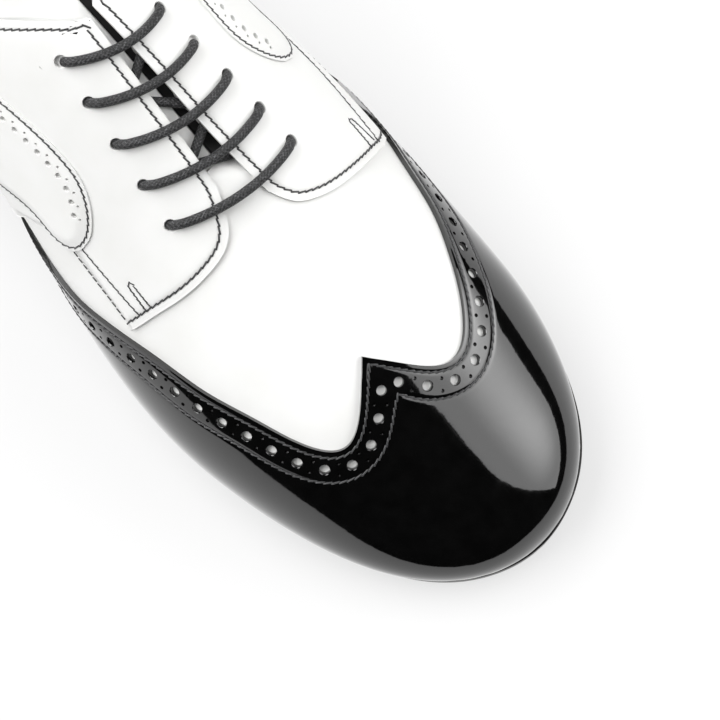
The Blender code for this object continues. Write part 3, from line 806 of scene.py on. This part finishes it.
def make_wing():
    """The wing cap with its band of holes and pinholes, and the two sewing rows along the band."""
    rows = [WING.line(side, at) for side in SIDES for at in (BAND_UPPER_ROW, BAND_LOWER_ROW)]
    row_points = np.concatenate([dense(row) for row in rows])
    edge_points = np.concatenate([dense(WING.line(side, 0.0)) for side in SIDES])
    lengths, band_rows, lower_rows = 420, 28, 22

    def place(along, across, side):
        row = across * (band_rows + lower_rows)
        depth = BAND_END * np.clip((band_rows + lower_rows - row) / band_rows, 0.0, 1.0)
        signed = (2 * along - 1) * WING.END
        flat, up = WING.place(signed, depth)
        low = np.clip(row / lower_rows, 0.0, 1.0)
        up = np.where(low < 1, low * lerp(np.minimum(WING.below(signed), up), up, low**3), up)
        return sewn(*unchart(flat, up), side, OVERLAY_LAYER, edge_points, row_points, WING_SKIVE)

    wing = panel("wing_cap_patent", lengths, band_rows + lower_rows, place, [PATENT])
    keep(wing, "patent_leather", "wing_cap")
    large, small = [], []
    for side in SIDES:
        middle_line = WING.line(side, BAND_HOLES)
        pitch, first = HOLE_PITCH[side], HOLE_FIRST[side]
        large.append(frames(spaced(middle_line, pitch, first), OVERLAY_LAYER[0] - CUT_PAST))
        for out in (-PINHOLE_OUT, PINHOLE_OUT):
            line = WING.line(side, BAND_HOLES + out)
            between = spaced(middle_line, pitch, first + pitch / 2)
            near = line[:, [last_gap(line, spot).argmin() for spot in between.T]]
            small.append(frames(near, OVERLAY_LAYER[1] - PINHOLE_DEPTH))
    punch(wing, gathered(large), HOLE_RADIUS, OVERLAY_LAYER[1] - OVERLAY_LAYER[0] + CUT_PAST)
    punch(wing, gathered(small), PINHOLE_RADIUS, PINHOLE_DEPTH)
    places = gathered([
        stitch_places(row, OVERLAY_LAYER[1], thin=WING_SKIVE * (1 - smooth_step(at / SKIVE_REACH)))
        for row, at in zip(rows, (BAND_UPPER_ROW, BAND_LOWER_ROW) * 2)
    ])
    keep(scatter("wing_cap_stitches", stitch_shape(), places, [THREAD]), "lace")


def last_gap(line, spot):
    """Distances of a line's places from one place, in millimetres."""
    return np.linalg.norm(last_point(*line) - last_point(*spot), axis=-1)


# The quarters

def quarter_low(station, side):
    rise = smooth_step((station - QUARTER_LOW_FROM) / (QUARTER_LOW_TO - QUARTER_LOW_FROM))
    return QUARTER_LOW_GIRTH[side] * rise


def quarter_high(station, middle):
    """Girth of the facing's edge, and behind it of the topline."""
    collar = np.minimum(TOPLINE(station)[0], middle - GAP(FACING_TOP)[0])
    return np.where(station > FACING_TOP, middle - GAP(station)[0], collar)


def quarter_front(climb, side):
    return FRONT[side](climb)[0]


def on_side(station, girth, side):
    return np.array((station, girth if side == "lateral" else 1 - girth))


def side_middle(side):
    return GAP_MIDDLE if side == "lateral" else 1 - GAP_MIDDLE


def quarter_edge(side):
    """The front edge from its foot to the lace gap, the facing's edge, and the topline to the back seam."""
    middle = side_middle(side)
    climb = np.linspace(0.0, 1.0, 200)
    front = quarter_front(climb, side)
    turn = np.linspace(0.0, math.acos(math.sqrt(SEAM_STATION / FACING_FOOT)), 90)[1:]
    station = np.concatenate((np.linspace(front[-1], FACING_FOOT, 160)[1:], FACING_FOOT * np.cos(turn) ** 2))
    low, high = quarter_low(front, side), quarter_high(front, middle)
    girth = np.concatenate((lerp(low, high, climb), quarter_high(station, middle)))
    return on_side(np.concatenate((front, station)), girth, side)


def climb_share(across):
    """Rows of a quarter, close together along its lower and upper edges."""
    return across - ROWS_CROWDED * np.sin(2 * np.pi * across)


def make_quarter(side):
    """A quarter with its eyelets, the facing's row, two rows along its lower edge and a tack at its front."""
    middle = side_middle(side)
    edge = quarter_edge(side)
    turn = 1 if side == "lateral" else -1
    facing_row = inset(edge, turn * FACING_ROW)
    facing_row = eased_line(facing_row[:, FACING_FROM[side] :], FACING_ROW_EASE)
    lower_rows = []
    for line in QUARTER_LOWER_ROWS[side]:
        station = np.linspace(line[0][0], line[-1][0], 200)
        lower_rows.append(on_side(station, np.interp(station, *np.array(line).T), side))
    tack = np.array([on_side(*spot, side) for spot in TACK[side]]).T
    tack = np.array([np.interp(np.linspace(0, 3, 60), range(4), values) for values in tack])
    rows = [facing_row, *lower_rows, tack]
    row_points = np.concatenate([dense(row) for row in rows])
    edge_points = dense(edge)
    low_stations = np.linspace(QUARTER_LOW_TO - 20, quarter_front(0.0, side), 200)
    low_points = dense(on_side(low_stations, quarter_low(low_stations, side), side))
    near, mid, back = 16, 60, 56
    lengths = near + mid + back
    full = OVERLAY_LAYER[1] - OVERLAY_LAYER[0]

    def place(along, across, side_of):
        column = along * lengths
        climb = climb_share(across)
        front = quarter_front(climb, side)
        bend = np.pi / 2 * np.clip((column - near - mid) / back, 0, 1)
        behind = lerp(BACK_SEAM_STATION, FACING_FOOT, np.cos(bend) ** 2)
        between = lerp(front - FRONT_STRIP, FACING_FOOT, (column - near) / mid)
        station = np.where(column <= near + mid, between, behind)
        station = np.where(column <= near, front - FRONT_STRIP * column / near, station)
        girth = lerp(quarter_low(station, side), quarter_high(station, middle), climb)
        station, girth = on_side(station, girth, side)
        grain = skin(station, girth, OVERLAY_LAYER[1])
        thin = SKIVE_DEPTH * (1 - smooth_step(nearest(grain, edge_points) / SKIVE_REACH))
        feathered = (full - FEATHER_LEFT) * (1 - smooth_step(nearest(grain, low_points) / FEATHER_REACH))
        thin = np.maximum(thin, feathered)
        pull = STITCH_PULL * np.exp(-((nearest(grain, row_points) / PULL_HALF) ** 2))
        pull = np.minimum(pull, full - FURROW_LEFT - thin)
        outer = OVERLAY_LAYER[1] - thin - pull
        return skin(station, girth, np.where(side_of > 0.5, outer, OVERLAY_LAYER[0]))

    quarter = panel(f"quarter_{side}_calf", lengths, 72, place, [WHITE_CALF])
    keep(quarter, "white_leather", f"quarter_{side}")
    punch(quarter, frames(eyelets(side), OVERLAY_LAYER[0] - CUT_PAST), EYELET_RADIUS, full + CUT_PAST)
    places = gathered([
        stitch_places(facing_row, OVERLAY_LAYER[1], thin=FACING_ROW_THIN),
        stitch_places(lower_rows[0], OVERLAY_LAYER[1], thin=LOWEST_ROW_THIN, size=LOWEST_STITCH[side]),
        stitch_places(lower_rows[1], OVERLAY_LAYER[1], size=SECOND_STITCH),
        stitch_places(tack, OVERLAY_LAYER[1], pitch=TACK_PITCH, size=TACK_STITCH),
    ])
    keep(scatter(f"quarter_{side}_stitches", stitch_shape(), places, [THREAD]), "lace")


# The lace

def eyelets(side):
    """Stations and girths of one row of eyelets, from the toe end up."""
    start, step = (LATERAL_EYELET, LATERAL_STEP) if side == "lateral" else (MEDIAL_EYELET, MEDIAL_STEP)
    number = np.arange(LACE_BARS)
    return np.array([start[i] + step[i] * number for i in range(2)])


def over_run(start, end):
    """A lace bar across the facings, bowed towards the toe, with both ends turning down."""
    share = np.linspace(0.0, 1.0, 15)
    bowed = LACE_BOW * 4 * share * (1 - share)
    offset = np.full(15, LACE_OVER)
    offset[[0, -1]] -= LACE_DOWN
    return np.array((lerp(start[0], end[0], share) + bowed, lerp(start[1], end[1], share), offset))


def under_run(start, end):
    """A hidden run below the facings from one eyelet to another."""
    share = np.linspace(0.0, 1.0, 13)
    return np.array((lerp(start[0], end[0], share), lerp(start[1], end[1], share), np.full(13, LACE_UNDER)))


def lace_runs():
    """Runs of the one lace from its lateral end to its medial end, as (over or under, from, to)."""
    lateral, medial = eyelets("lateral").T, eyelets("medial").T
    return (
        (over_run, lateral[4], medial[4]),
        (under_run, medial[4], lateral[2]),
        (over_run, lateral[2], medial[2]),
        (under_run, medial[2], lateral[0]),
        (over_run, lateral[0], medial[0]),
        (under_run, medial[0], lateral[1]),
        (over_run, lateral[1], medial[1]),
        (under_run, medial[1], lateral[3]),
        (over_run, lateral[3], medial[3]),
    )


def lace_path():
    """Points along the lace at even steps, smoothed round its turns."""
    corners = np.concatenate([run(start, end) for run, start, end in lace_runs()], axis=1)
    points = skin(*corners)
    way = ways(points)
    fine = np.arange(0.0, way[-1], LACE_STEP)
    points = np.array([np.interp(fine, way, points[:, i]) for i in range(3)]).T
    return eased(points, LACE_EASE)


def make_lace():
    """The one lace as a closed cord along its path, with a UV map for its braid."""
    points = lace_path()
    lengths = len(points) - 1
    along = unit(np.gradient(points, axis=0))
    normals = np.zeros_like(points)
    normal = np.cross(along[0], (0.0, 0.0, 1.0))
    for i, direction in enumerate(along):
        normal = normal - direction * np.dot(normal, direction)
        normal = normal / np.linalg.norm(normal)
        normals[i] = normal
    binormals = np.cross(along, normals)
    way = ways(points)
    length = way[-1]
    from_end = np.minimum(way, length - way)
    radius = LACE_RADIUS * MM * np.sqrt(1 - (1 - np.clip(from_end / LACE_END, 0.0, 1.0)) ** 2)
    bm = bmesh.new()
    uv = bm.loops.layers.uv.new("braid")
    bmesh.ops.create_grid(bm, x_segments=lengths, y_segments=LACE_AROUND, size=0.5, calc_uvs=True)
    for face in bm.faces:
        for loop in face.loops:
            flat = loop.vert.co
            loop[uv].uv = ((flat.x + 0.5) * length / BRAID_PITCH, (flat.y + 0.5) * BRAID_STRANDS)
    for vert in bm.verts:
        i = round((vert.co.x + 0.5) * lengths)
        angle = 2 * np.pi * (vert.co.y + 0.5)
        vert.co = points[i] + radius[i] * (normals[i] * math.cos(angle) + binormals[i] * math.sin(angle))
    bmesh.ops.remove_doubles(bm, verts=bm.verts, dist=1e-6)
    bmesh.ops.recalc_face_normals(bm, faces=bm.faces)
    mesh = bpy.data.meshes.new("lace")
    bm.to_mesh(mesh)
    bm.free()
    lace = new_object("lace_waxed_braid", mesh, [BRAID])
    keep(lace, "lace", *[f"lace_bar_{number + 1}" for number in range(LACE_BARS)])


# Upper, tongue and counter

def opening_edge(share, middle):
    """Station and girth of the throat's and collar's edge on one side, from the throat to the back seam."""
    throat, slot = 0.05, 0.52
    corner = middle - GAP(SLOT_FRONT)[0] - SLOT_MARGIN
    slot_station = lerp(SLOT_FRONT, FACING_TOP, np.clip((share - throat) / (slot - throat), 0, 1))
    turn = np.pi / 2 * np.clip((share - slot) / (1 - slot), 0, 1)
    collar_station = FACING_TOP * np.maximum(np.cos(turn), 0.0) ** 1.5
    collar = np.minimum(TOPLINE(collar_station)[0], middle - GAP(FACING_TOP)[0]) - SLOT_MARGIN
    station = np.where(share < slot, slot_station, collar_station)
    girth = np.where(share < slot, middle - GAP(slot_station)[0] - SLOT_MARGIN, collar)
    return station, np.where(share < throat, lerp(middle, corner, share / throat), girth)


def make_upper():
    """The vamp and lining shell. The lace presses a bed into it below the facings."""
    hidden = [run(start, end) for run, start, end in lace_runs() if run is under_run]
    bed = np.concatenate([skin(*places[:2], UPPER_LAYER[1]) for places in hidden])
    way = ways(bed)
    fine = np.arange(0, way[-1], LACE_BED_STEP)
    bed = np.array([np.interp(fine, way, bed[:, i]) for i in range(3)]).T
    side_columns, rows_across = 120, 64
    # Towards the toe the grid runs over from upright columns into the flat pattern
    pattern_from, pattern_reach = 110.0, 110.0
    crowded_at_edge = 1.4

    def place(along, across, side):
        signed = 2 * along - 1
        lateral = signed <= 0
        share = np.abs(signed)
        foot_station = LAST_LENGTH * np.cos(np.pi / 2 * share) ** 2
        middle = np.where(lateral, GAP_MIDDLE, 1 - GAP_MIDDLE)
        edge_station, edge_girth = opening_edge(share, middle)
        foot_girth, edge_girth = np.where(lateral, 0.0, 1.0), np.where(lateral, edge_girth, 1 - edge_girth)
        rise = 1 - (1 - across) ** crowded_at_edge
        upright = lerp(foot_station, edge_station, rise), lerp(foot_girth, edge_girth, rise)
        start, end = chart(foot_station, foot_girth), chart(edge_station, edge_girth)
        flat = unchart(lerp(start[0], end[0], rise), lerp(start[1], end[1], rise))
        toe_share = smooth_step((foot_station - pattern_from) / pattern_reach)
        station, girth = lerp(upright[0], flat[0], toe_share), lerp(upright[1], flat[1], toe_share)
        grain = skin(station, girth, UPPER_LAYER[1])
        pressed = LACE_BED * (1 - smooth_step((nearest(grain, bed) - LACE_BED_FLAT) / LACE_BED_FALL))
        return skin(station, girth, np.where(side > 0.5, UPPER_LAYER[1], UPPER_LAYER[0]) - pressed)

    upper = panel("upper_vamp_calf", 2 * side_columns, rows_across, place, [WHITE_CALF, LINING_AND_PAINTED_SHADE], ring=True)
    keep(upper, "white_leather", "upper")


def make_tongue():
    """The tongue, folded down along the medial facing, with painted shade there: the fold's flank takes the
    black lining material.
    """

    def place(along, across, side):
        station = lerp(TONGUE_FRONT, TONGUE_TOP, along)
        girth = GAP_MIDDLE + TONGUE_HALF_GIRTH * (2 * across - 1)
        lower = TONGUE_LIFT * smooth_step((station - TONGUE_TOP) / TONGUE_LIFT_REACH)
        offset = np.where(side > 0.5, TONGUE_LAYER[1], TONGUE_LAYER[0])
        ridge = GAP_MIDDLE + TONGUE_RIDGE * GAP(station)[0]
        fold = TONGUE_FOLD * smooth_step((girth - ridge) / TONGUE_FOLD_GIRTH)
        front, top = (FOLD_FRONT - station) / FOLD_FRONT_REACH, (station - FOLD_TOP) / FOLD_TOP_REACH
        fold *= smooth_step(front) * smooth_step(top)
        return skin(station, girth, offset + TONGUE_LIFT - lower - fold)

    # Painted shade: the fold's flank beside the medial facing gets the black lining material on the tongue's
    # outer side
    def painted_shade_patch(along, across):
        return SHADE_PAINT_ALONG[0] < along < SHADE_PAINT_ALONG[1] and across > SHADE_PAINT_ACROSS

    tongue = panel("tongue_calf", 60, 120, place, [WHITE_CALF, LINING_AND_PAINTED_SHADE], painted_shade_mask=painted_shade_patch)
    keep(tongue, "white_leather", "tongue")


def counter_edges(station):
    """Girths of the counter's lower and upper edge, which meet in the round nose."""
    nose = round_end(NOSE_STATION - station, NOSE_REACH, 2.0)
    drop = COUNTER_LOW_GIRTH * smooth_step((station - COUNTER_LOW_FROM) / (COUNTER_LOW_TO - COUNTER_LOW_FROM))
    return lerp(NOSE_GIRTH, drop, nose), lerp(NOSE_GIRTH, COUNTER_TOP(station)[0], nose)


def make_counter():
    """The heel counter: its nose, brogue and sewing row on each side, round the back."""
    side_columns, rows_across = 130, 44
    edges, rows, holes, pinholes = [], [], [], []
    for side in SIDES:
        turn = np.linspace(math.asin(math.sqrt(SEAM_STATION / NOSE_STATION)), np.pi / 2, 400)
        station = (NOSE_STATION - NOSE_BLUNT) * np.sin(turn) ** 2
        low, high = counter_edges(station)
        upper_edge = on_side(station, high, side)
        lower = station[::-1] > COUNTER_LOW_FROM + COUNTER_LOW_START
        lower_edge = on_side(station[::-1][lower], low[::-1][lower], side)
        edge = np.concatenate((upper_edge, lower_edge), axis=1)
        edges.append(dense(edge))
        inward = -1 if side == "lateral" else 1
        rounded = eased_line(spaced(edge, COUNTER_ROW_STEP), COUNTER_ROW_EASE)
        rows.append(inset(rounded, inward * COUNTER_ROW))
        punched = upper_edge[:, station < NOSE_STATION - COUNTER_HOLES_END]
        holes.append(spaced(inset(punched, inward * COUNTER_HOLES), COUNTER_PITCH, COUNTER_FIRST))
        between = COUNTER_FIRST + COUNTER_PITCH / 2
        pinholes.append(spaced(inset(punched, inward * COUNTER_PINHOLES), COUNTER_PITCH, between))
    edge_points = np.concatenate(edges)
    row_points = np.concatenate([dense(row) for row in rows])

    def place(along, across, side):
        signed = 2 * along - 1
        station = (NOSE_STATION - NOSE_BLUNT) * np.sin(np.pi / 2 * np.abs(signed)) ** 2
        low, high = counter_edges(station)
        girth = lerp(low, high, across)
        girth = np.where(signed <= 0, girth, 1 - girth)
        return sewn(station, girth, side, COUNTER_LAYER, edge_points, row_points, COUNTER_SKIVE)

    counter = panel("counter_calf", 2 * side_columns, rows_across, place, [WHITE_CALF])
    keep(counter, "white_leather", "counter")
    places = gathered([stitch_places(row, COUNTER_LAYER[1], thin=COUNTER_ROW_THIN) for row in rows])
    keep(scatter("counter_stitches", stitch_shape(), places, [THREAD]), "lace")
    under = COUNTER_LAYER[0] - COUNTER_CUT_PAST
    for lines, radius in ((holes, COUNTER_HOLE_RADIUS), (pinholes, COUNTER_PINHOLE_RADIUS)):
        punch(counter, gathered([frames(line, under) for line in lines]), radius, COUNTER_LAYER[1] - under)


# The bottom: sole, insole, heel

def plan_edge(station, side, margin):
    """Plan points of the feather line moved out by a margin."""
    girth = np.full(np.shape(station), 0.0 if side == "lateral" else 1.0)
    out = unit(outward(station, girth)[..., :2])
    return last_point(station, girth)[..., :2] + out * np.asarray(margin)[..., None]


def sole_outline(station, side):
    return plan_edge(station, side, MARGIN(station)[SIDES.index(side)])


def insole_outline(station, side):
    return plan_edge(station, side, np.full(np.shape(station), INSOLE_MARGIN))


def lift_outline(station, side):
    middle = np.array((HEEL_BREAST / 2, 0.0))
    return lerp(middle, sole_outline(station, side), 1 - HEEL_TAPER)


def plate(name, lengths, stations, under, top, materials, edge):
    """A plate of the bottom. Each face is an outline and a height that follow the station."""

    def place(along, across, side):
        station = stations(along)
        faces = []
        for outline, height in (under, top):
            plan = lerp(outline(station, "lateral"), outline(station, "medial"), across[:, None])
            faces.append(np.column_stack((plan, height(station))))
        return placed(np.where((side > 0.5)[:, None], faces[1], faces[0]))

    return panel(name, lengths, 10, place, materials, edge=edge, both=True)


def whole_sole(along):
    return lerp(TIP, LAST_LENGTH - TIP, np.sin(np.pi / 2 * along) ** 2)


def heel_part(along):
    return lerp(TIP, HEEL_BREAST, along**2)


def level(height):
    return lambda station: np.full(np.shape(station), height)


def make_bottom():
    """Sole, insole, heel block and heel lift."""
    sole = plate(
        "outsole_leather", 220, whole_sole, (sole_outline, lambda s: sole_top(s) - SOLE_THICK),
        (sole_outline, sole_top), [SOLE_EDGE, SOLE_FACE], SOLE_ROUND,
    )
    keep(sole, "sole_leather", "outsole")
    board = plate(
        "insole_sock", 180, whole_sole, (insole_outline, lambda s: sole_top(s) + SEAM_GAP),
        (insole_outline, lambda s: sole_top(s) + SEAM_GAP + INSOLE_THICK), [SOCK], BOARD_ROUND,
    )
    keep(board, "insole_leather", "insole")
    block = plate(
        "heel_stack", 110, heel_part, (lift_outline, level(LIFT_THICK + HEEL_GAP)),
        (sole_outline, lambda s: sole_top(s) - SOLE_THICK - HEEL_GAP), [STACK], HEEL_ROUND,
    )
    keep(block, "heel_leather", "heel")
    lift = plate(
        "heel_lift_rubber", 110, heel_part, (lift_outline, level(0.0)),
        (lift_outline, level(LIFT_THICK)), [RUBBER], BOARD_ROUND,
    )
    keep(lift, "heel_rubber", "heel_lift")


make_upper()
make_wing()
for side in SIDES:
    make_quarter(side)
make_counter()
make_tongue()
make_lace()
make_bottom()


# Studio: a glowing table, three softboxes and the photographer's camera

VIEW_RIGHT = np.array((0.6865, 0.7271, 0.0))
VIEW_AHEAD = np.array((-0.7271, 0.6865, 0.0))
# Lamps: turn from the picture's right, height, distance, roll, size, radiance, and its share at the edge
LAMPS = {
    "soft_side": (18.7, 33.5, 4.0, -1.8, (6.0, 3.3), 6.6, 0.33),
    "soft_back": (168.0, 50.0, 4.0, 0.0, (5.0, 2.8), 7.3, 1.0),
    "soft_top": (120.0, 86.0, 4.0, 0.0, (2.4, 2.4), 3.4, 1.0),
}


def soft_light(name, turn, height, far, roll, size, radiance, edge_share):
    """A softbox that faces the shoe, brightest in its middle."""
    turn, height, roll = np.radians((turn, height, roll))
    level = VIEW_RIGHT * math.cos(turn) + VIEW_AHEAD * math.sin(turn)
    toward = level * math.cos(height) + np.array((0.0, 0.0, math.sin(height)))
    right = unit(np.cross((0.0, 0.0, 1.0), toward))
    up = np.cross(toward, right)
    right, up = right * math.cos(roll) + up * math.sin(roll), up * math.cos(roll) - right * math.sin(roll)
    lamp = bpy.data.lights.new(name, "AREA")
    lamp.shape = "RECTANGLE"
    lamp.size, lamp.size_y = size
    lamp.energy = radiance * math.pi * size[0] * size[1]
    if edge_share < 1:
        lamp.use_nodes = True
        tree = lamp.node_tree
        spot_on = node(tree, "ShaderNodeNewGeometry", {})
        from_middle = node(
            tree, "ShaderNodeVectorMath", {0: spot_on.outputs["Parametric"], 1: (0.5, 0.5, 0.0)},
            operation="DISTANCE",
        )
        glow = node(
            tree, "ShaderNodeMapRange",
            {"Value": from_middle.outputs["Value"], "From Max": 0.5, "To Min": 1.0, "To Max": edge_share},
            interpolation_type="SMOOTHSTEP",
        )
        tree.links.new(glow.outputs["Result"], tree.nodes["Emission"].inputs["Strength"])
    made = bpy.data.objects.new(name, lamp)
    spot = toward * far
    rows = [(right[i], up[i], toward[i], spot[i]) for i in range(3)]
    made.matrix_world = Matrix((*rows, (0.0, 0.0, 0.0, 1.0)))
    bpy.context.scene.collection.objects.link(made)


def make_studio():
    """A light table of opal acrylic, which glows from below, softboxes and a dark room."""
    bm = bmesh.new()
    bmesh.ops.create_grid(bm, x_segments=1, y_segments=1, size=20.0)
    mesh = bpy.data.meshes.new("floor")
    bm.to_mesh(mesh)
    bm.free()
    material = new_material(
        "opal_acrylic_light_table_matt",
        {
            "Base Color": linear("#7e7e7e"), "Roughness": 0.9, "Specular IOR Level": 0.2,
            "Emission Color": (1.0, 1.0, 1.0, 1.0), "Emission Strength": 0.62,
        },
    )[0]
    new_object("floor", mesh, [material])

    for name, row in LAMPS.items():
        soft_light(name, *row)
    world = bpy.data.worlds.new("studio")
    world.use_nodes = True
    world.node_tree.nodes["Background"].inputs["Color"].default_value = linear("#1c1c1c")
    world.node_tree.nodes["Background"].inputs["Strength"].default_value = 1.0
    bpy.context.scene.world = world
    bpy.context.scene.view_settings.view_transform = "Standard"


def make_camera():
    """The photographer's camera: ten degrees off straight down, a long lens, and the photo's frame."""
    camera = bpy.data.cameras.new("camera")
    camera.lens, camera.sensor_width = 175.0, 36.0
    camera.clip_start, camera.clip_end = 0.05, 50.0
    eye = np.array((0.20051, -0.11796, 1.0098))
    ahead = np.array((-0.12626, 0.11921, -0.98481))
    up = np.cross(VIEW_RIGHT, ahead)
    made = bpy.data.objects.new("camera", camera)
    rows = [(VIEW_RIGHT[i], up[i], -ahead[i], eye[i]) for i in range(3)]
    made.matrix_world = Matrix((*rows, (0.0, 0.0, 0.0, 1.0)))
    bpy.context.scene.collection.objects.link(made)
    bpy.context.scene.camera = made


make_studio()
make_camera()
